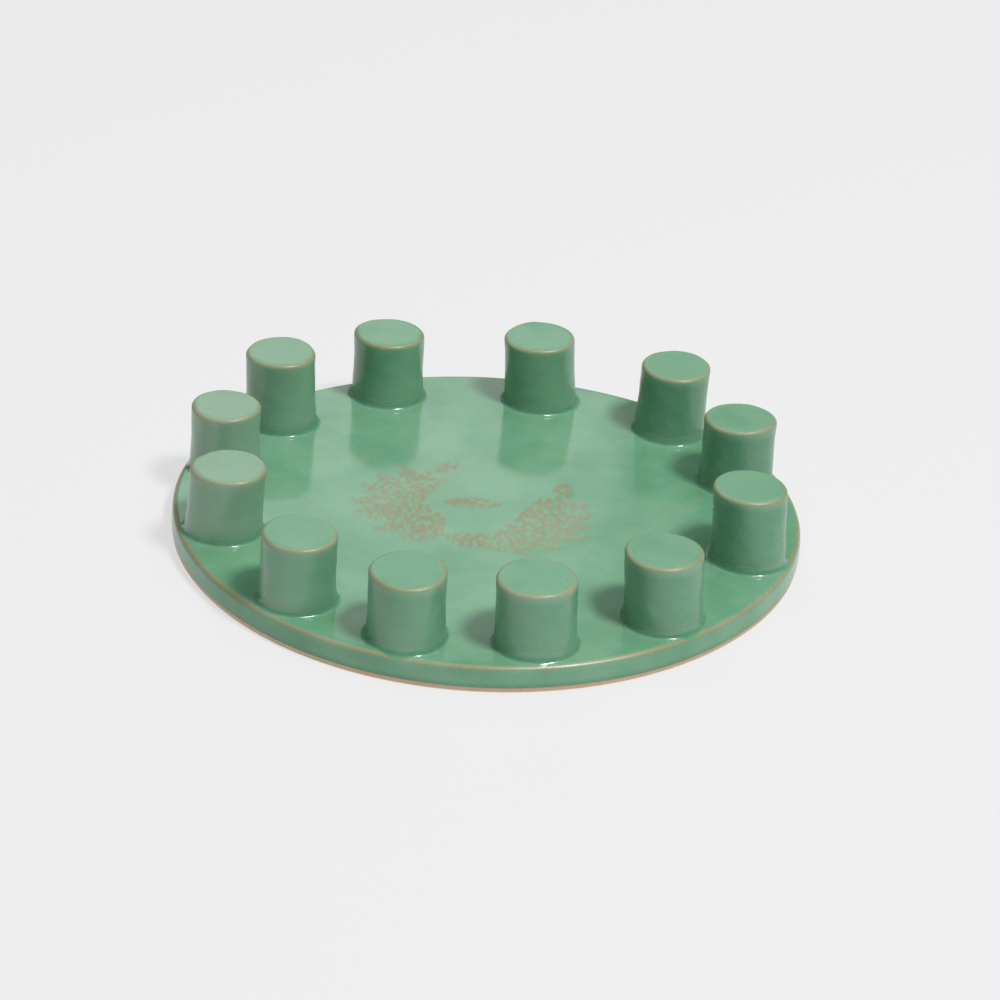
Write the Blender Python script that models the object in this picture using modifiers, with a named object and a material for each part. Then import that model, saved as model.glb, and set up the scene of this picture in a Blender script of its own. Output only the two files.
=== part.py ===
"""Flower frog: a round clay slab with a ring of short pegs that flower stems lean between.

It is built the way a potter builds it by hand. A slab is rolled out and cut to a disc, twelve pegs
are cut from a rolled coil, and each peg is set down on the slab in a bed of wet slip. The slip that
squeezes out is wiped into a cove round the peg's foot. Firing makes it all one stiff piece.

Every length is in metres, +Z is up, and the origin is under the middle of the slab's box.
Run it with: blender --background --python part.py
"""
import math

import bpy
from mathutils import Matrix, Vector

MM = 0.001

# Driving dimensions: the slab
SLAB_RADIUS = 75.0 * MM
SLAB_THICKNESS = 6.4 * MM
SLAB_TOP_ROUND = 1.3 * MM       # the wiped upper edge
SLAB_FOOT_CHAMFER = 0.5 * MM    # the fettled lower edge
SLAB_OVAL = 0.7 * MM            # how far the hand-cut outline is drawn out two ways
SLAB_OVAL_BEARING = 13.0        # degrees round from +X
SLAB_LOBE = 0.7 * MM            # and how far it is drawn out three ways
SLAB_LOBE_BEARING = 25.0

# Driving dimensions: the ring of pegs
PEG_COUNT = 12
RING_RADIUS = 65.1 * MM
RING_CENTRE = (-0.6 * MM, 1.4 * MM)
FIRST_PEG_BEARING = 17.5        # degrees round from +X
PEG_LIP_ROUND = 0.9 * MM        # the softened edge of each cut top
PEG_FOOT_CHAMFER = 0.4 * MM

# Driving dimensions: the slip that joins a peg to the slab
SLIP_BED = 0.6 * MM             # thickness under the peg
SLIP_COVE_RADIUS = 1.4 * MM     # the cove wiped round the peg's foot
SLIP_EDGE = 0.3 * MM            # the cove's thin edges
SLIP_RIM_MARGIN = 0.2 * MM      # slip is wiped off this far inside the slab's rim
JOINT_GAP = 0.3 * MM            # air between pieces that touch

# How each peg was set down by eye, in order round the ring. Angles are in degrees, lengths in mm:
# stray round the ring, stray outwards, width, rise above the slab, lean along X, lean along Y.
PEGS_AS_SET = (
    (2.2, -0.4, 17.5, 17.6, 0.0, 0.0),
    (-0.8, 0.9, 17.4, 18.0, 0.5, 0.5),
    (1.0, -3.1, 17.7, 17.8, -1.2, 0.1),
    (7.0, -0.8, 17.4, 17.2, -0.2, 0.5),
    (5.4, 0.4, 17.2, 19.1, -0.6, 0.6),
    (0.5, 0.3, 16.8, 16.6, 0.0, 0.0),
    (-0.7, -1.1, 17.6, 16.7, 1.0, -0.1),
    (2.5, -0.4, 17.2, 17.2, 0.1, -0.1),
    (-1.6, 0.2, 17.8, 17.0, -0.2, -0.1),
    (-5.6, -0.7, 18.2, 16.9, -0.7, -0.1),
    (-6.4, -0.9, 18.2, 17.6, -1.0, -0.1),
    (-2.4, -0.1, 17.6, 18.7, -1.0, 0.3),
)

# How finely the round shapes are cut
SLAB_STEPS = 96
PEG_STEPS = 32
ROUND_STEPS = 3
MERGE_DISTANCE = 0.01 * MM
SHARP_ANGLE = math.radians(40.0)

# Fired finishes: colour, roughness
SLAB_GLAZE = ((0.24, 0.43, 0.29, 1.0), 0.16)
PEG_GLAZE = ((0.20, 0.38, 0.25, 1.0), 0.18)
SLIP_GLAZE = ((0.10, 0.34, 0.22, 1.0), 0.14)


def clear_scene():
    """Remove whatever the open file holds, so that the model starts from nothing."""
    for obj in list(bpy.data.objects):
        bpy.data.objects.remove(obj, do_unlink=True)


def new_collection(name):
    """Make a collection under the scene's own."""
    collection = bpy.data.collections.new(name)
    bpy.context.scene.collection.children.link(collection)
    return collection


def glaze(name, finish):
    """Make a Principled material for one fired finish."""
    colour, roughness = finish
    material = bpy.data.materials.new(name)
    material.use_nodes = True
    shader = material.node_tree.nodes["Principled BSDF"]
    shader.inputs["Base Color"].default_value = colour
    shader.inputs["Roughness"].default_value = roughness
    shader.inputs["Metallic"].default_value = 0.0
    return material


def arc(centre, radius, start, end):
    """Points of an arc in the profile plane, as (distance from the axis, height)."""
    points = []
    for step in range(ROUND_STEPS + 1):
        angle = math.radians(start + (end - start) * step / ROUND_STEPS)
        points.append((centre[0] + radius * math.cos(angle), centre[1] + radius * math.sin(angle)))
    return points


def turned_mesh(name, profile, steps):
    """Turn a profile about Z with a Screw modifier and return the closed mesh.

    The profile starts on the axis at the top and runs down its outer side to the axis below.
    """
    outline = bpy.data.meshes.new(name)
    corners = [(distance, 0.0, height) for distance, height in profile]
    edges = [(index, index + 1) for index in range(len(corners) - 1)]
    outline.from_pydata(corners, edges, [])
    turner = bpy.data.objects.new(name, outline)
    bpy.context.scene.collection.objects.link(turner)
    screw = turner.modifiers.new("Turn", "SCREW")
    screw.axis = "Z"
    screw.angle = math.tau
    screw.steps = steps
    screw.render_steps = steps
    screw.use_merge_vertices = True
    screw.merge_threshold = MERGE_DISTANCE
    depsgraph = bpy.context.evaluated_depsgraph_get()
    solid = bpy.data.meshes.new_from_object(turner.evaluated_get(depsgraph))
    bpy.data.objects.remove(turner)
    bpy.data.meshes.remove(outline)
    solid.name = name
    return solid


def add_piece(name, mesh, material, collection, location=(0.0, 0.0, 0.0)):
    """Put a mesh into the model as one named piece."""
    mesh.materials.clear()
    mesh.materials.append(material)
    mesh.shade_smooth()
    mesh.set_sharp_from_angle(angle=SHARP_ANGLE)
    piece = bpy.data.objects.new(name, mesh)
    piece.location = location
    collection.objects.link(piece)
    return piece


def outline_wander(bearing):
    """How far the hand-cut rim stands out from a true circle at a bearing in radians."""
    oval = SLAB_OVAL * math.cos(2.0 * (bearing - math.radians(SLAB_OVAL_BEARING)))
    lobes = SLAB_LOBE * math.cos(3.0 * (bearing - math.radians(SLAB_LOBE_BEARING)))
    return oval + lobes


def outline_middle():
    """The middle of the hand-cut outline's box, which the model's origin stands under."""
    bearings = [math.tau * step / SLAB_STEPS for step in range(SLAB_STEPS)]
    reach = [SLAB_RADIUS + outline_wander(bearing) for bearing in bearings]
    along_x = [length * math.cos(bearing) for length, bearing in zip(reach, bearings)]
    along_y = [length * math.sin(bearing) for length, bearing in zip(reach, bearings)]
    return Vector((min(along_x) + max(along_x), min(along_y) + max(along_y), 0.0)) / 2.0


def hand_cut(mesh):
    """Draw a turned disc out of round, then centre its box on the axis."""
    middle = outline_middle()
    for vertex in mesh.vertices:
        bearing = math.atan2(vertex.co.y, vertex.co.x)
        stretch = 1.0 + outline_wander(bearing) / SLAB_RADIUS
        vertex.co.x = vertex.co.x * stretch - middle.x
        vertex.co.y = vertex.co.y * stretch - middle.y


def wipe_off_at_rim(mesh, place):
    """Pull the slip back to the slab's rim wherever its cove would run over the edge."""
    to_slab = Vector(place) + outline_middle()
    for vertex in mesh.vertices:
        across = (vertex.co + to_slab).to_2d()
        bearing = math.atan2(across.y, across.x)
        limit = SLAB_RADIUS + outline_wander(bearing) - SLIP_RIM_MARGIN
        if across.length > limit:
            across.length = limit
            vertex.co.x = across.x - to_slab.x
            vertex.co.y = across.y - to_slab.y


def build_slab(collection):
    """The rolled slab, cut to a disc, with its upper edge wiped round and its foot fettled."""
    top = SLAB_THICKNESS
    round_centre = (SLAB_RADIUS - SLAB_TOP_ROUND, top - SLAB_TOP_ROUND)
    profile = [(0.0, top)]
    profile += arc(round_centre, SLAB_TOP_ROUND, 90.0, 0.0)
    profile += [(SLAB_RADIUS, SLAB_FOOT_CHAMFER), (SLAB_RADIUS - SLAB_FOOT_CHAMFER, 0.0), (0.0, 0.0)]
    mesh = turned_mesh("base_slab", profile, SLAB_STEPS)
    hand_cut(mesh)
    return add_piece("base_slab", mesh, glaze("slab_glaze", SLAB_GLAZE), collection)


def peg_profile(radius, foot, top):
    """A coil cut square, with a softened lip. Heights count from the slab's upper face."""
    lip_centre = (radius - PEG_LIP_ROUND, top - PEG_LIP_ROUND)
    profile = [(0.0, top)]
    profile += arc(lip_centre, PEG_LIP_ROUND, 90.0, 0.0)
    profile += [(radius, foot + PEG_FOOT_CHAMFER), (radius - PEG_FOOT_CHAMFER, foot), (0.0, foot)]
    return profile


def slip_profile(peg_radius, underside):
    """A thin bed under the peg that rises into a cove round its foot."""
    inner = peg_radius + JOINT_GAP
    outer = inner + SLIP_EDGE + SLIP_COVE_RADIUS
    cove_top = underside + SLIP_EDGE + SLIP_COVE_RADIUS
    bed_top = underside + SLIP_BED
    profile = [(0.0, bed_top), (inner, bed_top), (inner, cove_top)]
    profile += arc((outer, cove_top), SLIP_COVE_RADIUS, 180.0, 270.0)
    profile += [(outer, underside), (0.0, underside)]
    return profile


def build_peg(number, as_set, materials, collection, ring):
    """One peg and the slip it stands in, both leaning the way the peg was left."""
    stray_round, stray_out, width, rise, lean_x, lean_y = as_set
    bearing = math.radians(FIRST_PEG_BEARING + (number - 1) * 360.0 / PEG_COUNT + stray_round)
    distance = RING_RADIUS + stray_out * MM
    place = Vector((distance * math.cos(bearing), distance * math.sin(bearing), 0.0))
    lean = Matrix.Shear("XY", 4, (lean_x / rise, lean_y / rise))
    radius = width * MM / 2.0
    slip_underside = JOINT_GAP
    peg_foot = slip_underside + SLIP_BED + JOINT_GAP

    peg_mesh = turned_mesh(f"peg_{number:02d}", peg_profile(radius, peg_foot, rise * MM), PEG_STEPS)
    slip_mesh = turned_mesh(f"slip_joint_{number:02d}", slip_profile(radius, slip_underside), PEG_STEPS)
    for mesh, finish in ((peg_mesh, "peg"), (slip_mesh, "slip")):
        mesh.transform(lean)
        if finish == "slip":
            wipe_off_at_rim(mesh, place + ring.location)
        piece = add_piece(mesh.name, mesh, materials[finish], collection, place)
        piece.parent = ring


def build_flower_frog():
    """Build the slab, then the pegs and their slip joints round an empty at the ring's centre."""
    clear_scene()
    collection = new_collection("flower_frog")
    build_slab(collection)
    ring = bpy.data.objects.new("peg_ring", None)
    ring.location = (RING_CENTRE[0], RING_CENTRE[1], SLAB_THICKNESS)
    collection.objects.link(ring)
    materials = {"peg": glaze("peg_glaze", PEG_GLAZE), "slip": glaze("slip_glaze", SLIP_GLAZE)}
    for number, as_set in enumerate(PEGS_AS_SET, start=1):
        build_peg(number, as_set, materials, collection, ring)


build_flower_frog()
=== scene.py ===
# %% [markdown]
# # A flower frog in green glaze
# A flower frog stands in the bottom of a bowl and holds cut stems upright between its pegs. This one
# is hand-built pottery: a rolled slab cut to a disc, twelve short pegs cut from a coil of clay and
# set round its rim in wet slip, and a celadon glaze over everything but the foot. The frame holds
# the packed model at its true size. This script only gives each of its parts the surface that the
# real one has, so it starts by loading the frame.

# %% Load the frame
import math
from dataclasses import dataclass

import bpy
import numpy as np
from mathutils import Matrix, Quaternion, Vector


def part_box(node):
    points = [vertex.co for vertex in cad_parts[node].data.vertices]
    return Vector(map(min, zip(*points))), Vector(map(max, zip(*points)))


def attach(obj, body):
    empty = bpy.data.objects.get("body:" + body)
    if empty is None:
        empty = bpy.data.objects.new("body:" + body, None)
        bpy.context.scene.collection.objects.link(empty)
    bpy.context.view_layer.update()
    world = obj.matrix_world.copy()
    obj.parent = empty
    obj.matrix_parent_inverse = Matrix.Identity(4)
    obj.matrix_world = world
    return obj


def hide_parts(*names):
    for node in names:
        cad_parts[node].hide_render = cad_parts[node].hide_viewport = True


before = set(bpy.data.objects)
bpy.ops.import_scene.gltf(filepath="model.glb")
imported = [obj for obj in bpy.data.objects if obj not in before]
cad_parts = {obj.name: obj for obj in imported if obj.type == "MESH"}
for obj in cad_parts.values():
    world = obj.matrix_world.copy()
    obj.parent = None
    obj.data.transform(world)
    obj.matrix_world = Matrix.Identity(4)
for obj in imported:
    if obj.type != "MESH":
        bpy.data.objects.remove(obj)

MM = 0.001
SLAB = "base_slab"
PEGS = sorted(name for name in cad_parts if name.startswith("peg_"))
SLIPS = sorted(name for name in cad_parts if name.startswith("slip_joint_"))
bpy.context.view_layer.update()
print("frame holds", len(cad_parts), "nodes:", len(PEGS), "pegs and", len(SLIPS), "slip joints")

# %% [markdown]
# ## The camera
# A long lens stands well back and looks down a little under thirty degrees, so that the ring of
# pegs reads as a ring and the far pegs are hardly smaller than the near ones. It is made first,
# because every later choice is judged through it. A slight roll stands the ring a touch off level,
# as a camera held by hand does.

# %% Place the camera
CAMERA_PLACE = Vector((-0.2, -747.9, 403.7)) * MM
CAMERA_AIM = Vector((3.0, 17.9, 0.0)) * MM
CAMERA_ROLL = math.radians(3.65)
CAMERA_LENS = 126.85
CAMERA_FILM = 36.0


def add_to_scene(thing):
    """Link an object to the scene and hand it back."""
    bpy.context.scene.collection.objects.link(thing)
    return thing


def make_camera():
    """A long lens at CAMERA_PLACE, aimed at CAMERA_AIM and rolled about its own axis."""
    data = bpy.data.cameras.new("camera")
    data.lens = CAMERA_LENS
    data.sensor_width = CAMERA_FILM
    camera = add_to_scene(bpy.data.objects.new("camera", data))
    aimed = (CAMERA_AIM - CAMERA_PLACE).to_track_quat("-Z", "Y")
    camera.location = CAMERA_PLACE
    camera.rotation_mode = "QUATERNION"
    camera.rotation_quaternion = aimed @ Quaternion((0.0, 0.0, 1.0), CAMERA_ROLL)
    return camera


bpy.context.scene.camera = make_camera()
print("camera stands", round((CAMERA_AIM - CAMERA_PLACE).length / MM), "mm from what it looks at")

# %% [markdown]
# ## Formulas as node trees
# Both the shapes and the finishes below are formulas: a point goes so far out from an axis, a colour
# turns tan where the glaze is thin. Node trees can hold such formulas, but a tree wired by hand one
# link at a time is hard to read. So a small class stands for a value on its way between nodes, and
# Python's own plus and times make the Math nodes.

# %% A value between nodes
def plug(value, socket):
    """Feed a socket from a field, or give it a plain value."""
    if isinstance(value, Field):
        value.tree.links.new(value.socket, socket)
    else:
        socket.default_value = value


def add_node(tree, kind, inputs=None, output=0, **settings):
    """Add a node with its settings and inputs, and return one of its outputs as a field."""
    node = tree.nodes.new(kind)
    for name, value in settings.items():
        setattr(node, name, value)
    sockets = [socket for socket in node.inputs if socket.enabled]
    for key, value in (inputs or {}).items():
        socket = sockets[key] if isinstance(key, int) else next(s for s in sockets if s.name == key)
        plug(value, socket)
    outputs = [socket for socket in node.outputs if socket.enabled]
    return Field(tree, outputs[output])


class Field:
    """A value on its way between nodes. Arithmetic on it adds Math nodes to its tree."""

    def __init__(self, tree, socket):
        self.tree = tree
        self.socket = socket

    def math(self, operation, other=None):
        """One Math node with this field as its first input."""
        inputs = {0: self} if other is None else {0: self, 1: other}
        return add_node(self.tree, "ShaderNodeMath", inputs, operation=operation)

    def __add__(self, other):
        return self.math("ADD", other)

    def __sub__(self, other):
        return self.math("SUBTRACT", other)

    def __mul__(self, other):
        return self.math("MULTIPLY", other)

    def __truediv__(self, other):
        return self.math("DIVIDE", other)

    def __rtruediv__(self, other):
        return add_node(self.tree, "ShaderNodeMath", {0: other, 1: self}, operation="DIVIDE")

    def between(self, low, high, at_low=0.0, at_high=1.0):
        """A smooth step from at_low to at_high as this field goes from low to high."""
        inputs = {"Value": self, "From Min": low, "From Max": high, "To Min": at_low, "To Max": at_high}
        return add_node(self.tree, "ShaderNodeMapRange", inputs, interpolation_type="SMOOTHSTEP")

    def held(self, low, high):
        """This field, kept between two values."""
        return self.math("MAXIMUM", low).math("MINIMUM", high)


print("a field can be", ", ".join(name for name in vars(Field) if not name.startswith("_")))

# %% Vectors and noise
def vector_of(tree, x=0.0, y=0.0, z=0.0):
    """Three numbers as one vector."""
    return add_node(tree, "ShaderNodeCombineXYZ", {0: x, 1: y, 2: z})


def parts_of(vector):
    """A vector as its three numbers."""
    node = vector.tree.nodes.new("ShaderNodeSeparateXYZ")
    plug(vector, node.inputs[0])
    return [Field(vector.tree, socket) for socket in node.outputs]


def sum_of(first, second):
    """Two vectors added."""
    return add_node(first.tree, "ShaderNodeVectorMath", {0: first, 1: second}, operation="ADD")


def cloud(tree, where, grain, detail):
    """Soft noise from 0 to 1 whose patches are about one grain across."""
    inputs = {"Vector": where, "Scale": 1.0 / grain, "Detail": detail}
    return add_node(tree, "ShaderNodeTexNoise", inputs)


def patches(noise, reach):
    """Noise as patches: 0 where it is low, 1 where it is high, and soft between."""
    return noise.between(0.5 - reach, 0.5 + reach)


print("vectors and soft noise are ready")

# %% [markdown]
# ## Turned clay
# The slab and all the pegs are round, and each is out of round in its own way, because a hand cut
# it. The Screw modifier would turn a section perfectly, and then every dent would have to be pushed
# in by hand. Geometry Nodes turn the section and spoil it by rule in one go. A grid is bent round
# the axis, each of its rows takes its distance and height from one spot of the section, and named
# inputs say how far the piece is oval, how it leans, how its top was cut and how much its surface
# wavers. The noise is read at the point's own place, so the two edges of the grid meet exactly, and
# Merge by Distance closes the seam and the poles.

# %% Spots along a section
@dataclass
class Spot:
    """One point of a section, with the finish of the glaze over it.

    facing is the way the surface looks, in degrees above level. give is how freely it wavers.
    The rest run from 0 to 1, in turn: glaze drawn thin over an edge; glaze that gathered, which on the
    sides of some pegs is also painted shade; no glaze; and glaze that turned cloudy, which is also a
    painted sheen on some pegs.
    """

    distance: float
    height: float
    facing: float = 0.0
    give: float = 1.0
    thin: float = 0.0
    pool: float = 0.0
    bare: float = 0.0
    milk: float = 0.0


FINISHES = ("thin", "pool", "bare", "milk")


def steps_between(first, last, count):
    """count evenly spaced numbers from first to last, both included."""
    return [first + (last - first) * step / (count - 1) for step in range(count)]


def ease(value, low, high):
    """A smooth step from 0 to 1 as value goes from low to high."""
    share = min(max((value - low) / (high - low), 0.0), 1.0)
    return share * share * (3.0 - 2.0 * share)


def bump(value, middle, reach):
    """1 at the middle, fading smoothly to 0 at reach on either side."""
    return 1.0 - ease(abs(value - middle), 0.0, reach)


def section_mesh(name, spots):
    """A section as loose points that carry their finish, for a tree to read by number."""
    mesh = bpy.data.meshes.new(name)
    mesh.from_pydata([(spot.distance, 0.0, spot.height) for spot in spots], [], [])
    out = mesh.attributes.new("out", "FLOAT_VECTOR", "POINT")
    for number, spot in enumerate(spots):
        angle = math.radians(spot.facing)
        out.data[number].vector = (spot.give * math.cos(angle), 0.0, spot.give * math.sin(angle))
    for finish in FINISHES:
        values = mesh.attributes.new(finish, "FLOAT", "POINT")
        for number, spot in enumerate(spots):
            values.data[number].value = getattr(spot, finish)
    return mesh


print("a section spot has", len(FINISHES), "finishes:", ", ".join(FINISHES))

# %% Start, end and run a tree
SOCKETS = {
    "number": "NodeSocketFloat",
    "whole": "NodeSocketInt",
    "vector": "NodeSocketVector",
    "object": "NodeSocketObject",
    "material": "NodeSocketMaterial",
}


def start_tree(name, inputs):
    """Start a geometry tree with named inputs, and return it with a field for each of them."""
    tree = bpy.data.node_groups.new(name, "GeometryNodeTree")
    tree.interface.new_socket("Geometry", in_out="INPUT", socket_type="NodeSocketGeometry")
    for title, kind in inputs.items():
        tree.interface.new_socket(title, in_out="INPUT", socket_type=SOCKETS[kind])
    tree.interface.new_socket("Geometry", in_out="OUTPUT", socket_type="NodeSocketGeometry")
    entry = tree.nodes.new("NodeGroupInput")
    return tree, {socket.name: Field(tree, socket) for socket in entry.outputs if socket.name}


def end_tree(tree, geometry, finish):
    """End a tree as plain realized geometry in one material."""
    real = add_node(tree, "GeometryNodeRealizeInstances", {"Geometry": geometry})
    painted = add_node(tree, "GeometryNodeSetMaterial", {"Geometry": real, "Material": finish})
    leaving = tree.nodes.new("NodeGroupOutput")
    plug(painted, leaving.inputs[0])


def run_tree(name, tree, data, values):
    """Run a tree on a stand-in object with these inputs, and keep the plain mesh it makes."""
    stand_in = add_to_scene(bpy.data.objects.new(name + "_stand_in", data))
    modifier = stand_in.modifiers.new(tree.name, "NODES")
    modifier.node_group = tree
    for item in tree.interface.items_tree:
        if item.in_out == "INPUT" and item.name in values:
            modifier[item.identifier] = values[item.name]
    stand_in.update_tag()
    bpy.context.view_layer.update()
    graph = bpy.context.evaluated_depsgraph_get()
    mesh = bpy.data.meshes.new_from_object(stand_in.evaluated_get(graph))
    bpy.data.objects.remove(stand_in)
    mesh.name = name
    return mesh


def named(tree, name, kind="FLOAT"):
    """A named attribute as a field."""
    return add_node(tree, "GeometryNodeInputNamedAttribute", {"Name": name}, data_type=kind)


def keep(tree, geometry, name, value):
    """Store a value on every point, where a material can read it."""
    inputs = {"Geometry": geometry, "Name": name, "Value": value}
    return add_node(tree, "GeometryNodeStoreNamedAttribute", inputs, data_type="FLOAT")


print("trees take", ", ".join(SOCKETS), "inputs")

# %% Bend a grid round the axis
WELD = 0.001 * MM
FULL_TURN = math.tau


def bent_grid(tree, section, steps):
    """A grid with one row for each spot of the section and one column for each step round.

    Returns the grid, the angle round the axis and the section's row, both as fields.
    """
    rows = add_node(tree, "GeometryNodeAttributeDomainSize", {"Geometry": section})
    grid = add_node(tree, "GeometryNodeMeshGrid", {"Vertices X": steps + 1, "Vertices Y": rows})
    index = add_node(tree, "GeometryNodeInputIndex")
    column = (index / rows).math("FLOOR")
    row = index - column * rows
    angle = column / steps * FULL_TURN
    return grid, angle, row


def read_section(tree, section, value, row, kind="FLOAT"):
    """What the section says at a row."""
    inputs = {"Geometry": section, "Value": value, "Index": row}
    return add_node(tree, "GeometryNodeSampleIndex", inputs, data_type=kind)


def drawn_out(angle, size, bearing, ways):
    """How far a hand-cut outline stands out at an angle, where it is drawn out so many ways."""
    return ((angle - bearing) * float(ways)).math("COSINE") * size


def closed_up(tree, geometry, section, row, position):
    """Move the grid to its final points with its finishes, weld the seam and turn the faces out."""
    for finish in FINISHES:
        geometry = keep(tree, geometry, finish, read_section(tree, section, named(tree, finish), row))
    moved = add_node(tree, "GeometryNodeSetPosition", {"Geometry": geometry, "Position": position})
    welded = add_node(tree, "GeometryNodeMergeByDistance", {"Geometry": moved, "Distance": WELD})
    turned_out = add_node(tree, "GeometryNodeFlipFaces", {"Mesh": welded})
    return add_node(tree, "GeometryNodeSetShadeSmooth", {"Geometry": turned_out})


print("points closer than", WELD / MM, "mm are welded")

# %% Turn a section round its axis
SEED_STRIDE = (7.0, 3.0)    # how far apart two seeds read the noise
SET_DOWN_INPUTS = {
    "Steps": "whole",
    "Place": "vector",
    "Rise": "number",
    "Lean": "vector",
    "Oval": "number",
    "Oval bearing": "number",
    "Lobe": "number",
    "Lobe bearing": "number",
    "Seed": "whole",
    "Finish": "material",
}


def make_turned_clay_tree():
    """The tree that turns a section and then leans, cuts and dents it as a hand did."""
    own_inputs = {"Cut slope": "vector", "Reach": "number", "Waver": "number", "Waver size": "number"}
    tree, given = start_tree("Turned clay", SET_DOWN_INPUTS | own_inputs)
    section = given["Geometry"]
    grid, angle, row = bent_grid(tree, section, given["Steps"])
    spot = read_section(tree, section, add_node(tree, "GeometryNodeInputPosition"), row, "FLOAT_VECTOR")
    distance, _, height = parts_of(spot)
    oval = drawn_out(angle, given["Oval"], given["Oval bearing"], 2)
    lobe = drawn_out(angle, given["Lobe"], given["Lobe bearing"], 3)
    distance = distance * ((oval + lobe) / given["Reach"] + 1.0)
    across, along = angle.math("COSINE"), angle.math("SINE")
    risen = (height / given["Rise"]).held(0.0, 1.0)
    slope_x, slope_y, _ = parts_of(given["Cut slope"])
    cut = (slope_x * across + slope_y * along) * distance * risen
    surface = vector_of(tree, distance * across, distance * along, height + cut)

    grains = vector_of(tree, given["Waver size"], given["Waver size"], given["Waver size"])
    in_grains = add_node(tree, "ShaderNodeVectorMath", {0: surface, 1: grains}, operation="DIVIDE")
    seed_shift = vector_of(tree, *[given["Seed"] * stride for stride in SEED_STRIDE])
    noise = cloud(tree, sum_of(in_grains, seed_shift), 1.0, 1.0)
    dent = (noise - 0.5) * 2.0 * given["Waver"]
    out = read_section(tree, section, named(tree, "out", "FLOAT_VECTOR"), row, "FLOAT_VECTOR")
    outward, _, upward = parts_of(out)
    waver = vector_of(tree, dent * outward * across, dent * outward * along, dent * upward)
    lean_x, lean_y, _ = parts_of(given["Lean"])
    lean = vector_of(tree, lean_x * risen, lean_y * risen)
    position = sum_of(sum_of(sum_of(surface, waver), lean), given["Place"])
    clay = closed_up(tree, grid, section, row, position)
    end_tree(tree, clay, given["Finish"])
    return tree


turned_clay = make_turned_clay_tree()
print("the turned clay tree has", len(turned_clay.nodes), "nodes")

# %% Keep a finished mesh as a piece
ROOT = "root"


def faces_outwards(mesh):
    """True if the closed mesh holds a positive volume, which it does when its faces point out."""
    mesh.calc_loop_triangles()
    corners = np.array([[mesh.vertices[i].co[:] for i in face.vertices] for face in mesh.loop_triangles])
    volume = np.einsum("ij,ij->i", corners[:, 0], np.cross(corners[:, 1], corners[:, 2])).sum() / 6.0
    return volume > 0.0


def add_piece(name, mesh, slot, *nodes):
    """Put a finished mesh into the scene in place of its CAD nodes, riding on the one body."""
    if not faces_outwards(mesh):
        raise ValueError(f"{name} is inside out")
    piece = add_to_scene(bpy.data.objects.new(name, mesh))
    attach(piece, ROOT)
    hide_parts(*nodes)
    return piece


print("finished pieces will ride on the body", ROOT)

# %% [markdown]
# ## The glaze
# A celadon glaze is a coloured glass about a third of a millimetre thick. Where it lies deep it is
# blue-green, where it runs thin over an edge the clay shows through as tan, and over flat clay it
# is a soft green that is never quite even. Painting that by hand would take a texture for each
# piece. Instead the shapes know where they have edges, corners and bare clay, as attributes for
# thin glaze, gathered glaze, bare clay and cloudy glaze, and one recipe mixes its colours by them.
# The gathered glaze's attribute also carries painted shade on the sides of some pegs, and the
# cloudy glaze's a painted sheen on some pegs. Noise on Object coordinates frays the borders, so no
# two lips break alike. Other noises drift the green towards blue and olive, and dimple the surface
# as firing does.

# %% Choose the glaze's colours
def colour(red, green, blue):
    """A colour with full alpha."""
    return (red, green, blue, 1.0)


GLAZE_DEEP = colour(0.122, 0.330, 0.184)
GLAZE_PALE = colour(0.190, 0.410, 0.252)
GLAZE_BLUE = colour(0.112, 0.345, 0.245)
GLAZE_OLIVE = colour(0.225, 0.350, 0.160)
# cloudy glaze and painted sheen: this pale colour stands partly for glaze the kiln clouded and partly
# for a sheen that pales some pegs
GLAZE_MILK_AND_SHEEN = colour(0.300, 0.440, 0.320)
# painted shade as well as pooled glaze: this dark colour marks corners where glaze gathered, and is also
# painted on the sides of some pegs where shade falls
GLAZE_POOLED_AND_SHADE = colour(0.042, 0.185, 0.105)
GLAZE_BROKEN = colour(0.322, 0.268, 0.140)
GLAZE_WORN = colour(0.342, 0.326, 0.201)
CLAY_WARM = colour(0.620, 0.400, 0.230)
CLAY_SANDY = colour(0.730, 0.530, 0.350)
print("the green runs from", GLAZE_DEEP[:3], "to", GLAZE_PALE[:3])

# %% Choose its grains and borders
GLAZE_GLASS = 1.55          # how strongly the glassy coat bends light
MOTTLE = 13.0 * MM          # size of the deep and pale patches
MOTTLE_REACH = 0.25
TAN_REACH = 0.15
DRIFT = 4.5 * MM            # sizes of the blue and olive patches, large and small
GRAIN = 0.7 * MM
DRIFT_SHARE = 0.35          # how much of the hue's change the large patches make
HUE_REACH = 0.16
HUE_SHIFT = 0.45            # the most blue or olive that is mixed in
FRAY = 1.1 * MM             # size of the fraying along a border
BREAK_FRAY = 0.8
BREAK_STARTS = 0.20         # the tan starts at this thinness,
BREAK_ENDS = 0.95           # is full at this one,
BREAK_COVER = 0.92          # and then hides this much of the green
FOOT_FRAY = 0.5
FOOT_REACH = 0.08
MOTTLE_MATT = 0.06          # what each finish adds to the roughness
BREAK_MATT = 0.22
CLAY_MATT = 0.50
DIMPLE = 1.6 * MM
DIMPLE_DEPTH = 0.05 * MM
DIMPLE_STRENGTH = 0.15
print("mottle of", MOTTLE / MM, "mm, fraying of", FRAY / MM, "mm, dimples of", DIMPLE / MM, "mm")

# %% Mix the glaze
def mixed(tree, share, first, second):
    """A colour part of the way from first to second."""
    inputs = {0: share, "A": first, "B": second}
    return add_node(tree, "ShaderNodeMix", inputs, data_type="RGBA")


def attribute(tree, name):
    """A mesh attribute as a shader field."""
    return add_node(tree, "ShaderNodeAttribute", output=2, attribute_name=name)


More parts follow.
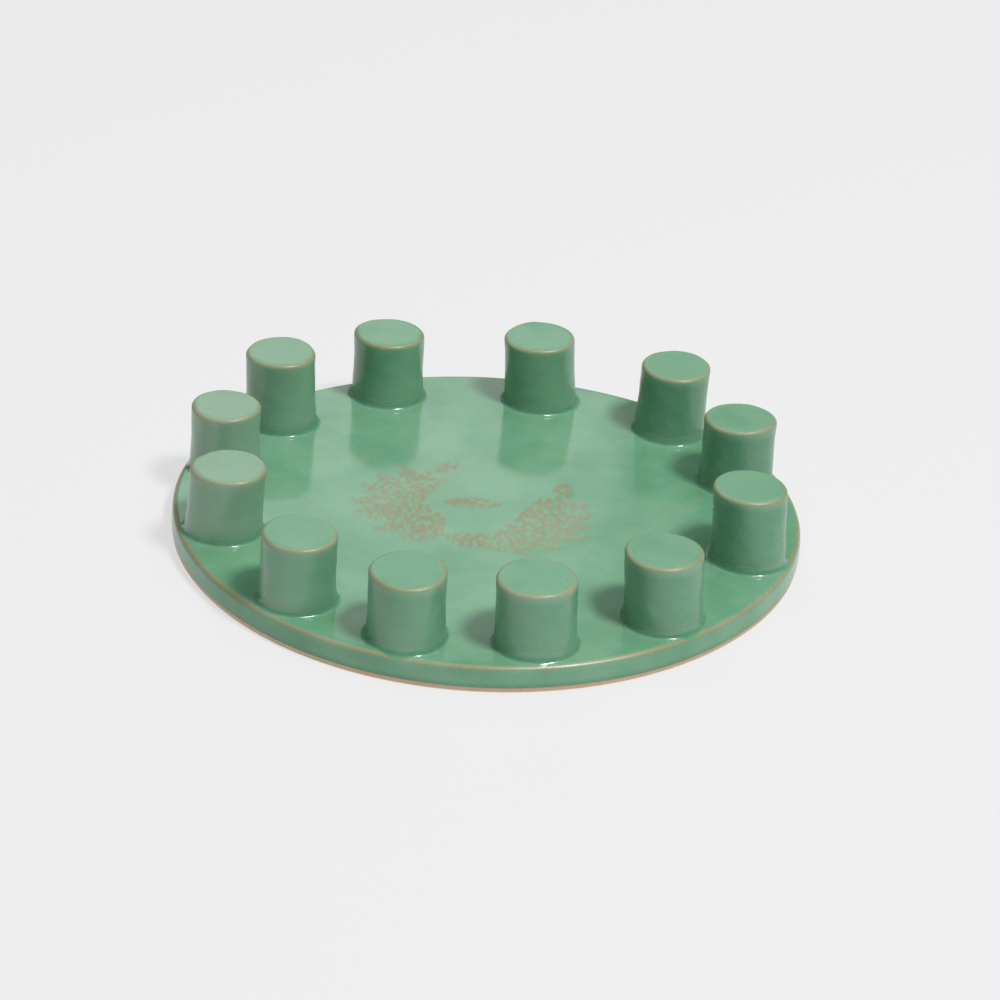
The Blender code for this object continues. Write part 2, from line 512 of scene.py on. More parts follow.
def make_glaze(name, paleness, roughness):
    """The one glaze recipe. paleness, from 0 to 1, leans the green towards its pale mix."""
    material = bpy.data.materials.new(name)
    material.use_nodes = True
    tree = material.node_tree
    shader = tree.nodes["Principled BSDF"]
    where = add_node(tree, "ShaderNodeTexCoord", output=3)
    thin, pool, bare, milk = (attribute(tree, finish) for finish in FINISHES)
    mottle = cloud(tree, where, MOTTLE, 3.0)
    fray = cloud(tree, where, FRAY, 3.0)
    drift = cloud(tree, where, DRIFT, 2.0)
    hue = drift * DRIFT_SHARE + cloud(tree, where, GRAIN, 3.0) * (1.0 - DRIFT_SHARE)

    green = mixed(tree, patches(mottle + (paleness - 0.5), MOTTLE_REACH), GLAZE_DEEP, GLAZE_PALE)
    green = mixed(tree, hue.between(0.5, 0.5 + HUE_REACH) * HUE_SHIFT, green, GLAZE_BLUE)
    green = mixed(tree, hue.between(0.5, 0.5 - HUE_REACH) * HUE_SHIFT, green, GLAZE_OLIVE)
    # painted sheen as well as cloudy glaze: the milky mix pales a peg
    green = mixed(tree, (milk + (fray - 0.5) * milk).held(0.0, 1.0), green, GLAZE_MILK_AND_SHEEN)
    # painted shade: the pooled mix darkens the corners where glaze gathered, and also the sides of some
    # pegs in place of the shade that falls on them
    green = mixed(tree, (pool * (fray + 0.5)).held(0.0, 1.0), green, GLAZE_POOLED_AND_SHADE)
    broken = (thin + (fray - 0.5) * BREAK_FRAY).between(BREAK_STARTS, BREAK_ENDS) * BREAK_COVER
    tan = mixed(tree, patches(mottle, TAN_REACH), GLAZE_BROKEN, GLAZE_WORN)
    glazed = mixed(tree, broken, green, tan)
    unglazed = patches(bare + (fray - 0.5) * FOOT_FRAY, FOOT_REACH)
    clay = mixed(tree, fray, CLAY_WARM, CLAY_SANDY)
    plug(mixed(tree, unglazed, glazed, clay), shader.inputs["Base Color"])

    matt = mottle * MOTTLE_MATT + broken * BREAK_MATT + unglazed * CLAY_MATT + roughness
    plug(matt, shader.inputs["Roughness"])
    shader.inputs["IOR"].default_value = GLAZE_GLASS
    dimples = cloud(tree, where, DIMPLE, 1.0)
    inputs = {"Strength": DIMPLE_STRENGTH, "Distance": DIMPLE_DEPTH, "Height": dimples}
    plug(add_node(tree, "ShaderNodeBump", inputs), shader.inputs["Normal"])
    return material


slab_glaze = make_glaze("slab_glaze", paleness=0.52, roughness=0.11)
peg_glaze = make_glaze("peg_glaze", paleness=0.66, roughness=0.24)
slip_glaze = make_glaze("slip_glaze", paleness=0.55, roughness=0.16)
print("the glaze recipe has", len(slab_glaze.node_tree.nodes), "nodes")

# %% [markdown]
# ## The slab
# The rim was cut freehand, so the outline bulges two ways and three ways by a fraction of a
# millimetre. Those amounts are already in the frame's slab. Rather than write them down again, the
# script measures them: it takes the points of the rim and fits a circle with two gentle waves to
# them. Then the section adds what the plain solid leaves out: a wiped upper edge where the glaze
# breaks, a band that swells as the glaze sags, a small step where it stops, and the bare foot.

# %% Measure the cut outline
SIDE_REACH = 0.97           # the side is this far out, as a share of the slab's reach
SIDE_BOTTOM = 0.25          # and between these shares of its height
SIDE_TOP = 0.85
slab_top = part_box(SLAB)[1].z


def points_of(node):
    """The points of a CAD node, in rows."""
    return np.array([vertex.co[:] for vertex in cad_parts[node].data.vertices])


def fit_outline(points):
    """Fit radius + a centre shift + a two-way and a three-way wave to rim points."""
    bearing = np.arctan2(points[:, 1], points[:, 0])
    waves = [np.ones_like(bearing)]
    for ways in (1, 2, 3):
        waves += [np.cos(ways * bearing), np.sin(ways * bearing)]
    fitted, *_ = np.linalg.lstsq(np.stack(waves, 1), np.hypot(points[:, 0], points[:, 1]), rcond=None)
    outline = {"radius": fitted[0], "middle": Vector((fitted[1], fitted[2], 0.0))}
    for ways, title in ((2, "oval"), (3, "lobe")):
        cosine, sine = fitted[2 * ways - 1], fitted[2 * ways]
        outline[title] = math.hypot(cosine, sine)
        outline[title + "_bearing"] = math.atan2(sine, cosine) / ways
    return outline


slab_points = points_of(SLAB)
slab_reach = np.hypot(slab_points[:, 0], slab_points[:, 1])
slab_share = slab_points[:, 2] / slab_top
on_side = (slab_share > SIDE_BOTTOM) & (slab_share < SIDE_TOP)
outline = fit_outline(slab_points[on_side & (slab_reach > SIDE_REACH * slab_reach.max())])
print("slab radius", round(outline["radius"] / MM, 2), "mm, oval", round(outline["oval"] / MM, 2),
      "mm, lobe", round(outline["lobe"] / MM, 2), "mm")

# %% Shape the slab
EDGE_ROUND = 1.5 * MM
RIM_BLUSH = 0.12            # how thin the glaze lies at the edge of the flat face
RIM_BLUSH_REACH = 1.5 * MM
RIM_BREAK = 0.82            # and on the round, where that faces half up
RIM_BREAK_FACING = 52.0
GLAZE_BEAD = 0.12 * MM      # how far the sagged glaze swells
SAG_HEIGHT = 2.2 * MM
SAG_REACH = 2.4 * MM
SAG_POOL = 0.35
SAG_POOL_HEIGHT = 1.5 * MM
SAG_POOL_REACH = 1.2 * MM
FOOT_BARE = 1.25 * MM       # the glaze ends this high, in a step that looks down
STEP_DOWN = 0.08 * MM
STEP_FACING = -40.0
FOOT_CHAMFER = 0.45 * MM
SLAB_STEPS = 360
ORNAMENT_REACH = 37.0 * MM
FINE_ROW = 0.55 * MM
COARSE_ROW = 1.3 * MM


def slab_section(radius, top):
    """From the middle of the upper face out over the rim and back under to the middle."""
    inner = radius - EDGE_ROUND
    spots = []
    for distance in steps_between(0.0, ORNAMENT_REACH, round(ORNAMENT_REACH / FINE_ROW)):
        spots.append(Spot(distance, top, 90.0))
    outer_rows = round((inner - ORNAMENT_REACH) / COARSE_ROW)
    for distance in steps_between(ORNAMENT_REACH, inner, outer_rows)[1:]:
        blush = RIM_BLUSH * bump(distance, inner, RIM_BLUSH_REACH)
        spots.append(Spot(distance, top, 90.0, thin=blush))
    for facing in steps_between(90.0, 0.0, 15)[1:]:
        angle = math.radians(facing)
        broken = RIM_BREAK * bump(facing, RIM_BREAK_FACING, RIM_BREAK_FACING)
        out, down = math.cos(angle), 1.0 - math.sin(angle)
        spots.append(Spot(inner + EDGE_ROUND * out, top - EDGE_ROUND * down, facing, thin=broken))
    for height in steps_between(top - EDGE_ROUND, FOOT_BARE, 16)[1:]:
        sag = bump(height, SAG_HEIGHT, SAG_REACH) * GLAZE_BEAD
        pool = SAG_POOL * bump(height, SAG_POOL_HEIGHT, SAG_POOL_REACH)
        spots.append(Spot(radius + sag, height, 0.0, pool=pool))
    spots.append(Spot(radius, FOOT_BARE - STEP_DOWN, STEP_FACING, bare=1.0))
    spots.append(Spot(radius - 0.5 * GLAZE_BEAD, FOOT_BARE - 2.0 * STEP_DOWN, 0.0, bare=1.0))
    for facing in steps_between(-5.0, -90.0, 6):
        angle = math.radians(facing)
        spots.append(Spot(radius - FOOT_CHAMFER * (1.0 - math.cos(angle)) - 0.5 * GLAZE_BEAD,
                          FOOT_CHAMFER * (1.0 + math.sin(angle)), 0.0, give=0.8, bare=1.0))
    for distance in steps_between(radius - 2.0 * FOOT_CHAMFER, 0.0, 12):
        spots.append(Spot(distance, 0.0, -90.0, give=0.0, bare=1.0))
    return spots


slab_spots = slab_section(outline["radius"], slab_top)
slab_mesh = run_tree("slab_blank", turned_clay, section_mesh("slab_section", slab_spots), {
    "Steps": SLAB_STEPS,
    "Place": outline["middle"],
    "Rise": slab_top,
    "Reach": outline["radius"],
    "Oval": outline["oval"],
    "Oval bearing": outline["oval_bearing"],
    "Lobe": outline["lobe"],
    "Lobe bearing": outline["lobe_bearing"],
    "Waver": 0.16 * MM,
    "Waver size": 24.0 * MM,
    "Seed": 5,
    "Finish": slab_glaze,
})
print("slab section has", len(slab_spots), "spots, slab has", len(slab_mesh.polygons), "faces")

# %% [markdown]
# ## The ornament
# In the middle of the slab a sprig of leaves was drawn in raised lines, and over them the glaze
# has broken into tan flecks. It could be a separate piece of tiny beads, but on the real one it is
# the slab's own skin. So the sprig is drawn as curves, and a second tree reads how far each point of
# the slab is from the nearest curve. Close to a line it lifts the clay a hair and thins the glaze,
# and a noise breaks the lines up.

# %% Draw the sprigs
LEAF_POINTS = 9
LEAF_BELLY = 0.8            # under 1, a leaf is widest nearer its base
LEAF_TURN = 56.0            # degrees between the stem and a leaf
FULLEST_LEAF = 0.4          # where along the stem the leaves are largest
LEAF_SHRINK = 0.70          # and how much they would shrink a whole stem's length from there
TIP_LENGTH = 0.6            # the leaf on the tip, as shares of the others
TIP_WIDTH = 0.5


def leaf_lines(base, bearing, length, width):
    """A leaf's two edges and its vein, as lists of points. The bearing is in degrees."""
    ahead = Vector((math.cos(math.radians(bearing)), math.sin(math.radians(bearing))))
    aside = Vector((-ahead.y, ahead.x))
    lines = [[], [], []]
    for share in steps_between(0.0, 1.0, LEAF_POINTS):
        swell = 0.5 * width * math.sin(math.pi * share ** LEAF_BELLY)
        for line, side in zip(lines, (swell, -swell, 0.0)):
            line.append(base + ahead * (length * share) + aside * side)
    lines[2] = lines[2][:-2]
    return lines


def bowed_line(first, last, bow, count):
    """A line from first to last that bows aside by a share of its length."""
    first, last = Vector(first), Vector(last)
    aside = Vector((first.y - last.y, last.x - first.x)) * bow
    return [first.lerp(last, share) + aside * 4.0 * share * (1.0 - share)
            for share in steps_between(0.0, 1.0, count)]


def sprig(first, last, bow, pairs, leaf_length, leaf_width):
    """A bowed stem with pairs of leaves, the longest near its middle, and one leaf on its tip."""
    stem = bowed_line(first, last, bow, 4 * pairs)
    lines = [stem]
    for pair in range(pairs):
        here = 2 + pair * (len(stem) - 3) // pairs
        heading = stem[here] - stem[here - 1]
        bearing = math.degrees(math.atan2(heading.y, heading.x))
        size = 1.0 - LEAF_SHRINK * abs(pair / (pairs - 1) - FULLEST_LEAF)
        for turn in (LEAF_TURN, -LEAF_TURN):
            lines += leaf_lines(stem[here], bearing + turn, leaf_length * size, leaf_width * size)
    tip = stem[-1] - stem[-2]
    heading = math.degrees(math.atan2(tip.y, tip.x))
    lines += leaf_lines(stem[-1], heading, TIP_LENGTH * leaf_length, TIP_WIDTH * leaf_width)
    return lines


def drawn_curve(name, lines, height):
    """The lines as one curve object at a height. Lengths are in millimetres."""
    curve = bpy.data.curves.new(name, "CURVE")
    curve.dimensions = "3D"
    for line in lines:
        spline = curve.splines.new("POLY")
        spline.points.add(len(line) - 1)
        for point, place in zip(spline.points, line):
            point.co = (place.x * MM, place.y * MM, height, 1.0)
    return add_to_scene(bpy.data.objects.new(name, curve))


sprig_lines = sprig(first=(-8.0, -14.0), last=(-13.0, 19.0), bow=0.36, pairs=7,
                    leaf_length=11.5, leaf_width=4.8)
sprig_lines += sprig(first=(2.0, -17.0), last=(18.0, 9.0), bow=-0.16, pairs=6,
                     leaf_length=10.5, leaf_width=4.8)
sprig_lines += sprig(first=(-8.0, -15.5), last=(3.0, -17.5), bow=0.08, pairs=3,
                     leaf_length=4.0, leaf_width=2.6)
sprig_lines += leaf_lines(base=Vector((-9.0, 3.5)), bearing=0.0, length=11.0, width=2.6)
drawn_sprigs = drawn_curve("drawn_sprigs", sprig_lines, slab_top)
print("the ornament has", len(sprig_lines), "lines")

# %% Raise the lines on the slab
STREAK = 0.5                # under 1, the breaks are drawn out along +Y
BREAK_LOW = 0.33            # a line is gone below the first value of the noise
BREAK_HIGH = 0.56           # and whole above the second
LINE_THIN = 0.76


def make_raised_line_tree():
    """The tree that lifts a surface along drawn lines and thins the glaze over them."""
    tree, given = start_tree("Raised lines", {
        "Drawing": "object",
        "Line width": "number",
        "Line rise": "number",
        "Break size": "number",
        "Seed": "whole",
        "Finish": "material",
    })
    drawing = add_node(tree, "GeometryNodeObjectInfo", {"Object": given["Drawing"]}, output=4)
    wires = add_node(tree, "GeometryNodeCurveToMesh", {"Curve": drawing})
    gap = add_node(tree, "GeometryNodeProximity", {0: wires}, output=1, target_element="EDGES")
    east, north, _ = parts_of(add_node(tree, "GeometryNodeInputPosition"))
    streaked = sum_of(vector_of(tree, east, north * STREAK), vector_of(tree, given["Seed"]))
    breaks = cloud(tree, streaked, given["Break size"], 3.0)
    line = gap.between(given["Line width"] * 0.25, given["Line width"] * 0.5, 1.0, 0.0)
    line = line * breaks.between(BREAK_LOW, BREAK_HIGH)
    upward = parts_of(add_node(tree, "GeometryNodeInputNormal"))[2].held(0.0, 1.0)
    line = line * upward
    thin = named(tree, "thin").math("MAXIMUM", line * LINE_THIN)
    clay = keep(tree, given["Geometry"], "thin", thin)
    lift = vector_of(tree, 0.0, 0.0, line * given["Line rise"])
    lifted = add_node(tree, "GeometryNodeSetPosition", {"Geometry": clay, "Offset": lift})
    end_tree(tree, lifted, given["Finish"])
    return tree


raised_lines = make_raised_line_tree()
slab_mesh = run_tree("slab_glazed", raised_lines, slab_mesh, {
    "Drawing": drawn_sprigs,
    "Line width": 3.8 * MM,
    "Line rise": 0.02 * MM,
    "Break size": 1.15 * MM,
    "Seed": 3,
    "Finish": slab_glaze,
})
bpy.data.objects.remove(drawn_sprigs)
slab = add_piece("glazed_slab", slab_mesh, "slab_glaze", SLAB)
print("slab with its ornament has", len(slab_mesh.polygons), "faces")

# %% [markdown]
# ## The pegs
# A peg is a length of rolled coil. Cutting it spreads the clay into a lip, and the coil keeps the
# dents of the fingers that rolled it and carried it. Its foot stands in the slab's slip. Each peg
# takes its place, width, height and lean from its own node in the frame, and only the small
# accidents are new: how the top slopes, how far it is out of round, how much painted shade darkens
# its side, how cloudy the kiln left it together with a painted sheen, and a seed for its dents.

# %% Measure a peg
LEVEL_SLACK = 0.01 * MM


def middle_at(points, height):
    """The middle of the points that lie at a height."""
    level = points[np.abs(points[:, 2] - height) < LEVEL_SLACK]
    return Vector((level.min(0) + level.max(0)) / 2.0)


def measure_peg(node):
    """A peg's middle on the slab's upper face, the lean of its top, its radius and its rise."""
    points = points_of(node)
    low, high = points[:, 2].min(), points[:, 2].max()
    foot, top = middle_at(points, low), middle_at(points, high)
    share = (points[:, 2] - low) / (high - low)
    axis = np.array(foot)[None, :] + share[:, None] * np.array(top - foot)[None, :]
    radius = np.hypot(*(points - axis)[:, :2].T).max()
    rise = high - slab_top
    lean = (top - foot) * (rise / (high - low))
    on_slab = foot - lean * ((low - slab_top) / rise)
    return {"place": Vector((on_slab.x, on_slab.y, slab_top)), "lean": Vector((lean.x, lean.y, 0.0)),
            "radius": float(radius), "rise": float(rise)}


peg_measures = [measure_peg(node) for node in PEGS]
print("pegs are", " ".join(f"{2.0 * peg['radius'] / MM:.1f}" for peg in peg_measures), "mm wide")
print("and rise", " ".join(f"{peg['rise'] / MM:.1f}" for peg in peg_measures), "mm")

# %% Choose how a peg was cut and glazed
PEG_STEPS = 112
PEG_WAVER = 0.24 * MM
PEG_WAVER_SIZE = 8.0 * MM
FIRST_PEG_SEED = 11
TOP_DISH = 0.10 * MM        # how far the cut top sinks in its middle
TOP_GIVE = 0.25
LIP_ROUND = 1.0 * MM
LIP_SPREAD = 0.06 * MM      # the cut spreads the lip by this much
LIP_BLEND = 2.6 * MM
LIP_BLUSH = 0.4             # how thin the glaze lies at the edge of the flat top
LIP_BLUSH_REACH = 1.3 * MM
LIP_BREAK = 0.33            # and how much thinner on the round
LIP_BREAK_FACING = 38.0
LIP_BREAK_REACH = 52.0
LIP_RUN = 0.35              # and just below it
LIP_RUN_REACH = 0.7 * MM
# painted shade: the glaze on a peg's side darkens over this reach below the lip
SIDE_SHADE_REACH = 2.0 * MM
STEADY_BELOW = 1.5 * MM     # the wall doesn't waver below the first height,
FREE_ABOVE = 6.0 * MM       # and wavers freely above the second
FOOT_FLARE = 0.28 * MM
FLARE_RISE = 0.5            # the flare ends at this share of the peg's rise
FOOT_BLUSH = 0.36
FOOT_BLUSH_HEIGHT = 2.4 * MM
FOOT_BLUSH_REACH = 2.6 * MM
FOOT_POOL = 0.28
FOOT_POOL_REACH = 5.0 * MM
SUNK = 0.3 * MM             # how far a peg stands in the slab
print("a lip is rounded by", LIP_ROUND / MM, "mm and a foot flares by", FOOT_FLARE / MM, "mm")

# %% List the accidents
@dataclass
class Accident:
    """What the cutting, the setting down and the kiln did to one peg.

    slope is the top's tilt towards +X and +Y, in mm a cm. oval and lobe are in mm, and their
    bearings in degrees. Next comes painted shade: how much darker the glaze is drawn on the
    peg's side where shade falls on it. Last is how cloudy the kiln left the glaze, which on some
    pegs also stands for a painted sheen. Both run from 0 to 1.
    """

    slope_x: float
    slope_y: float
    oval: float
    oval_bearing: float
    lobe: float
    lobe_bearing: float
    side_shade: float
    milk: float = 0.0


MM_IN_A_CM = 10.0
PEG_ACCIDENTS = (
    # slope x and y, oval and its bearing, lobe and its bearing, painted side shade, cloudiness and
    # painted sheen
    Accident(0.1, -0.2, 0.10, 20.0, 0.10, 10.0, 0.36),
    Accident(-0.1, 0.1, 0.12, 80.0, 0.08, 50.0, 0.36),
    Accident(0.1, 0.1, 0.10, 40.0, 0.10, 90.0, 0.15),
    Accident(-0.1, 0.0, 0.12, 0.0, 0.10, 30.0, 0.15),
    Accident(0.0, 0.1, 0.14, 60.0, 0.12, 75.0, 0.08, milk=0.3),
    Accident(0.1, 0.1, 0.10, 120.0, 0.10, 20.0, 0.0, milk=0.6),
    Accident(0.0, 0.1, 0.12, 10.0, 0.10, 65.0, 0.12, milk=0.55),
    Accident(-0.1, 0.3, 0.14, 150.0, 0.12, 5.0, 0.15, milk=0.1),
    Accident(0.1, 0.3, 0.12, 90.0, 0.10, 45.0, 0.24),
    Accident(0.0, 0.15, 0.10, 35.0, 0.14, 100.0, 0.24),
    Accident(0.1, -0.1, 0.14, 70.0, 0.10, 25.0, 0.30),
    Accident(0.0, -0.1, 0.12, 110.0, 0.10, 85.0, 0.32),
)
# the cloudy pegs counted here are also the ones with a painted sheen
print(sum(accident.milk > 0.0 for accident in PEG_ACCIDENTS), "pegs came out cloudy")

# %% Draw a peg's section
def foot_finish(height):
    """The glaze low on a peg: how thin it blushes and how much of it has run down and pooled."""
    blush = FOOT_BLUSH * bump(height, FOOT_BLUSH_HEIGHT, FOOT_BLUSH_REACH)
    return blush, FOOT_POOL * bump(height, 0.0, FOOT_POOL_REACH)


def peg_section(radius, rise, accident):
    """From the middle of the cut top out over the lip and down to the foot.

    Heights are above the slab's upper face.
    """
    lip = radius + LIP_SPREAD - LIP_ROUND
    # painted sheen: the cloudiness also stands in for a sheen that pales this peg
    milk = accident.milk
    spots = []
    for distance in steps_between(0.0, lip, 16):
        dish = TOP_DISH * (1.0 - (distance / lip) ** 2)
        blush = LIP_BLUSH * ease(distance, lip - LIP_BLUSH_REACH, lip)
        spots.append(Spot(distance, rise - dish, 90.0, TOP_GIVE, thin=blush, milk=milk))
    for facing in steps_between(90.0, 0.0, 12)[1:]:
        angle = math.radians(facing)
        broken = LIP_BLUSH + LIP_BREAK * bump(facing, LIP_BREAK_FACING, LIP_BREAK_REACH)
        out, down = math.cos(angle), 1.0 - math.sin(angle)
        spots.append(Spot(lip + LIP_ROUND * out, rise - LIP_ROUND * down, facing,
                          thin=broken, milk=milk))
    lip_foot = rise - LIP_ROUND
    for height in steps_between(lip_foot, 0.0, 34)[1:]:
        below = lip_foot - height
        spread = LIP_SPREAD * (1.0 - ease(below, 0.0, LIP_BLEND))
        flare = FOOT_FLARE * (1.0 - ease(height, 0.0, FLARE_RISE * rise))
        edge = LIP_RUN * (1.0 - ease(below, 0.0, LIP_RUN_REACH))
        blush, pool = foot_finish(height)
        # painted shade: below the lip the side is drawn darker, as much as this peg's side falls in
        # shade
        side_shade = accident.side_shade * ease(below, 0.0, SIDE_SHADE_REACH)
        give = ease(height, STEADY_BELOW, FREE_ABOVE)
        spots.append(Spot(radius + spread + flare, height, 0.0, give,
                          thin=max(edge, blush), pool=max(side_shade, pool), milk=milk))
    spots.append(Spot(radius, -SUNK, 0.0, give=0.0))
    spots.append(Spot(0.5 * radius, -SUNK, -90.0, give=0.0))
    spots.append(Spot(0.0, -SUNK, -90.0, give=0.0))
    return spots


first_section = peg_section(peg_measures[0]["radius"], peg_measures[0]["rise"], PEG_ACCIDENTS[0])
print("the first peg's section has", len(first_section), "spots")

# %% Turn the pegs
def outline_inputs(peg, accident):
    """The inputs that a peg and its slip share."""
    return {
        "Place": peg["place"],
        "Rise": peg["rise"],
        "Lean": peg["lean"],
        "Oval": accident.oval * MM,
        "Oval bearing": math.radians(accident.oval_bearing),
        "Lobe": accident.lobe * MM,
        "Lobe bearing": math.radians(accident.lobe_bearing),
    }


def make_peg(number, peg, accident):
    """One peg, turned from its own section and set down with its own accidents."""
    node = PEGS[number]
    section = section_mesh(node + "_section", peg_section(peg["radius"], peg["rise"], accident))
    inputs = outline_inputs(peg, accident)
    inputs.update({
        "Steps": PEG_STEPS,
        "Cut slope": Vector((accident.slope_x, accident.slope_y, 0.0)) / MM_IN_A_CM,
        "Reach": peg["radius"],
        "Waver": PEG_WAVER,
        "Waver size": PEG_WAVER_SIZE,
        "Seed": FIRST_PEG_SEED + number,
        "Finish": peg_glaze,
    })
    mesh = run_tree(node + "_clay", turned_clay, section, inputs)
    return add_piece("glazed_" + node, mesh, "peg_glaze", node)


pegs = [make_peg(number, *both) for number, both in enumerate(zip(peg_measures, PEG_ACCIDENTS))]
print(len(pegs), "pegs of", len(pegs[0].data.polygons), "faces each")

# %% [markdown]
# ## The slip joints
# Slip squeezes out from under a peg as it is set down, and a wet brush wipes it into a cove. Glaze
# gathers in such corners and turns dark. A turned ring alone would hang in the air wherever the slab
# dips, and stick out past the rim where a peg stands close to the edge. So this tree asks the slab:
# one ray runs level from the peg to find the rim, which limits how wide the cove may be, and another
# falls on the slab to find the height that the cove has to sit at.

# %% Draw the cove's section
COVE_WIDTH = 1.05 * MM
COVE_HEIGHT = 1.8 * MM
COVE_POOL = 0.5
COVE_POOL_TURN = 40.0       # degrees down the arc where the glaze lies deepest
COVE_POOL_REACH = 50.0
COVE_FADE = 45.0            # degrees in which the peg's own finish fades
TUCKS = ((0.02, 0.06), (0.06, 0.12))    # how far in and on the hidden spots lie past each end
ROOT_DEPTH = 0.25
ROOT_REACH = 0.9


def cove_section():
    """A closed ring that shows only its hollow arc, from the peg's wall down to the slab.

    Past both ends it runs a little way into the clay, so that no edge of it is seen, and then it
    goes back under the slab and up inside the peg. A spot's distance counts in cove widths from
    the peg's wall, and its height in cove heights.
    """
    blush, run_down = foot_finish(COVE_HEIGHT)
    spots = [Spot(-inward, 1.0 + onward, 0.0, 0.0, blush, run_down) for inward, onward in TUCKS[::-1]]
    for turn in steps_between(0.0, 90.0, 13):
        angle = math.radians(turn)
        fading = 1.0 - ease(turn, 0.0, COVE_FADE)
        tone = max(COVE_POOL * bump(turn, COVE_POOL_TURN, COVE_POOL_REACH), run_down * fading)
        in_to_wall, down = math.cos(angle), math.sin(angle)
        spots.append(Spot(1.0 - in_to_wall, 1.0 - down, turn, 0.0, blush * fading, tone))
    spots += [Spot(1.0 + onward, -inward, give=0.0) for inward, onward in TUCKS]
    for corner in ((ROOT_REACH, -ROOT_DEPTH), (-ROOT_DEPTH, -ROOT_DEPTH), (-ROOT_DEPTH, ROOT_REACH)):
        spots.append(Spot(*corner, give=0.0, pool=COVE_POOL))
    spots.append(spots[0])
    return spots


print("the cove's section has", len(cove_section()), "spots")

# %% Wipe a cove round each peg
COVE_STEPS = 96
RIM_MARGIN = 0.35 * MM      # slip is wiped off this far inside the rim,
NARROWEST_COVE = 0.35 * MM  # but never to less than this width,
BRINK = 0.15 * MM           # nor does it come nearer to the rim than this
FIRST_SLIP_SEED = 31
SEED_STEP = 5.0
HAND_CHANGES = 1.4          # how often the hand's pressure changes round a foot
LIGHTEST_HAND = 0.8
HEAVIEST_HAND = 1.25
RAY_REACH = 1.0             # rays fly up to a metre,
RAY_DEPTH = 2.0 * MM        # the level ones this far under the slab's face
RAY_HEIGHT = 0.1            # and the falling ones from ten centimetres above it


def cast(tree, target, source, direction, output):
    """A ray from source to target. Output 1 is the point that it hits, 3 how far it flew."""
    inputs = {"Target Geometry": target, "Source Position": source, "Ray Direction": direction,
              "Ray Length": RAY_REACH}
    return add_node(tree, "GeometryNodeRaycast", inputs, output=output)


def make_cove_tree():
    """The tree that wraps a cove round a peg, keeps it inside the rim and sits it on the slab."""
    tree, given = start_tree("Wiped cove", SET_DOWN_INPUTS | {
        "Slab": "object",
        "Wall": "number",
        "Cove width": "number",
        "Cove height": "number",
        "Rim margin": "number",
        "Narrowest": "number",
        "Brink": "number",
    })
    section = given["Geometry"]
    slab_surface = add_node(tree, "GeometryNodeObjectInfo", {"Object": given["Slab"]}, output=4)
    grid, angle, row = bent_grid(tree, section, given["Steps"])
    spot = read_section(tree, section, add_node(tree, "GeometryNodeInputPosition"), row, "FLOAT_VECTOR")
    share_out, _, share_up = parts_of(spot)
    across, along = angle.math("COSINE"), angle.math("SINE")
    wall = given["Wall"] + drawn_out(angle, given["Oval"], given["Oval bearing"], 2)
    wall = wall + drawn_out(angle, given["Lobe"], given["Lobe bearing"], 3)

    inside_slab = sum_of(given["Place"], vector_of(tree, 0.0, 0.0, -RAY_DEPTH))
    to_rim = cast(tree, slab_surface, inside_slab, vector_of(tree, across, along), 3)
    round_the_foot = sum_of(vector_of(tree, across * HAND_CHANGES, along * HAND_CHANGES),
                            vector_of(tree, given["Seed"] * SEED_STEP))
    hand = cloud(tree, round_the_foot, 1.0, 2.0).between(0.25, 0.75, LIGHTEST_HAND, HEAVIEST_HAND)
    room = to_rim - given["Rim margin"] - wall
    width = (given["Cove width"] * hand).math("MINIMUM", room).math("MAXIMUM", given["Narrowest"])
    distance = (wall + share_out * width).math("MINIMUM", to_rim - given["Brink"])
    rise = share_up * given["Cove height"] * hand
    lean_x, lean_y, _ = parts_of(given["Lean"])
    risen = rise / given["Rise"]
    place_x, place_y, place_z = parts_of(given["Place"])
    x = place_x + distance * across + lean_x * risen
    y = place_y + distance * along + lean_y * risen
    high_above = vector_of(tree, x, y, place_z + RAY_HEIGHT)
    ground = parts_of(cast(tree, slab_surface, high_above, vector_of(tree, 0.0, 0.0, -1.0), 1))[2]
    position = vector_of(tree, x, y, ground + rise)
    slip = closed_up(tree, grid, section, row, position)
    end_tree(tree, slip, given["Finish"])
    return tree


wiped_cove = make_cove_tree()
print("the cove tree has", len(wiped_cove.nodes), "nodes")

# %% Set a slip joint under each peg
def make_slip(number, peg, accident):
    """The slip joint round one peg's foot."""
    node = SLIPS[number]
    inputs = outline_inputs(peg, accident)
    inputs.update({
        "Slab": slab,
        "Steps": COVE_STEPS,
        "Wall": peg["radius"] + FOOT_FLARE,
        "Cove width": COVE_WIDTH,
        "Cove height": COVE_HEIGHT,
        "Rim margin": RIM_MARGIN,
        "Narrowest": NARROWEST_COVE,
        "Brink": BRINK,
        "Seed": FIRST_SLIP_SEED + number,
        "Finish": slip_glaze,
    })
    mesh = run_tree(node + "_slip", wiped_cove, section_mesh(node + "_section", cove_section()), inputs)
    return add_piece("glazed_" + node, mesh, "slip_glaze", node)


slips = [make_slip(number, *both) for number, both in enumerate(zip(peg_measures, PEG_ACCIDENTS))]
print(len(slips), "slip joints of", len(slips[0].data.polygons), "faces each")

# %% [markdown]
# ## The studio
# Glossy pottery shows the room as much as itself. It stands on milky paper that glows a little, as
# a light table does, so the floor stays nearly white even in a shadow. A wide soft light hangs
# overhead. A smaller and stronger one to the front right throws the short shadows to the left and
# puts the pinpoint highlights in the coves. Two pale cards low behind, the upper one dimmer, are
# what the flat upper faces mirror: that is their sheen.

# %% Lay the floor
FLOOR_SIZE = 6.0
FLOOR_DROP = 0.03 * MM
PAPER_TONE = colour(0.25, 0.25, 0.252)
PAPER_GLOW = 0.59
PAPER_ROUGHNESS = 0.9
PAPER_SHINE = 0.1
WHITE = colour(1.0, 1.0, 1.0)


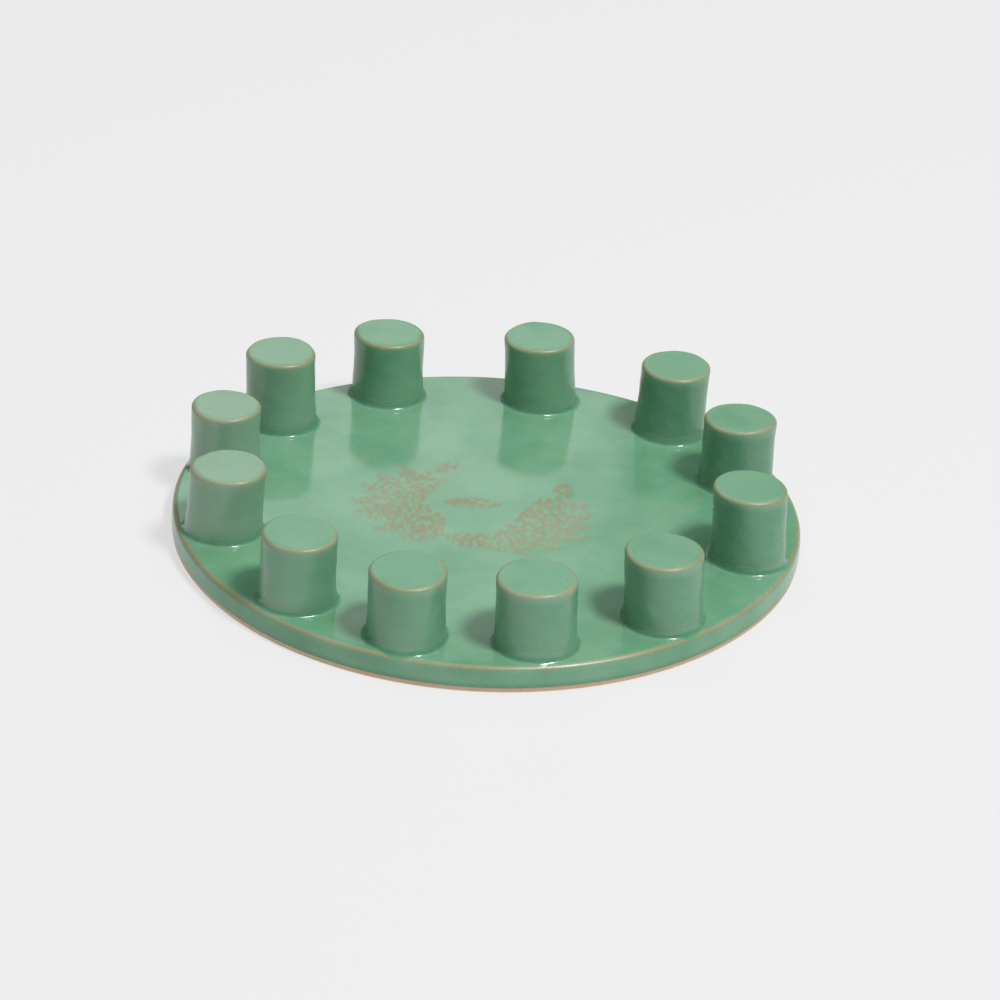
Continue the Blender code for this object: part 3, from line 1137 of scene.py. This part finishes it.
def make_floor():
    """A plain matt floor a hair under the foot, which glows a little as a light table does."""
    half = FLOOR_SIZE / 2.0
    mesh = bpy.data.meshes.new("floor")
    corners = [(-half, -half), (half, -half), (half, half), (-half, half)]
    mesh.from_pydata([(x, y, -FLOOR_DROP) for x, y in corners], [], [(0, 1, 2, 3)])
    material = bpy.data.materials.new("floor_paper")
    material.use_nodes = True
    shader = material.node_tree.nodes["Principled BSDF"]
    shader.inputs["Base Color"].default_value = PAPER_TONE
    shader.inputs["Emission Color"].default_value = WHITE
    shader.inputs["Emission Strength"].default_value = PAPER_GLOW
    shader.inputs["Roughness"].default_value = PAPER_ROUGHNESS
    shader.inputs["Specular IOR Level"].default_value = PAPER_SHINE
    mesh.materials.append(material)
    add_to_scene(bpy.data.objects.new("floor", mesh))


make_floor()
print("the floor is", FLOOR_SIZE, "m square")

# %% Hang the lights
ROOM_GREY = colour(0.17, 0.17, 0.175)


def make_soft_light(name, place, size, watts):
    """A flat soft light at a place, turned towards the middle of the slab."""
    data = bpy.data.lights.new(name, "AREA")
    data.shape = "RECTANGLE"
    data.size, data.size_y = size
    data.energy = watts
    light = add_to_scene(bpy.data.objects.new(name, data))
    light.location = place
    light.rotation_mode = "QUATERNION"
    light.rotation_quaternion = (-Vector(place)).to_track_quat("-Z", "Y")


def make_room():
    """A dim, even room."""
    world = bpy.data.worlds.new("room")
    world.use_nodes = True
    world.node_tree.nodes["Background"].inputs["Color"].default_value = ROOM_GREY
    bpy.context.scene.world = world


make_room()
make_soft_light("overhead", place=(0.0, 0.15, 1.8), size=(2.4, 2.4), watts=14.8)
make_soft_light("key", place=(0.84, -0.68, 1.91), size=(0.42, 0.42), watts=32.5)
make_soft_light("low_card", place=(-0.13, 1.5, 0.65), size=(0.44, 0.32), watts=0.41)
make_soft_light("upper_card", place=(-0.14, 1.5, 0.87), size=(0.42, 0.14), watts=0.13)
bpy.context.scene.view_settings.view_transform = "Standard"

# %% [markdown]
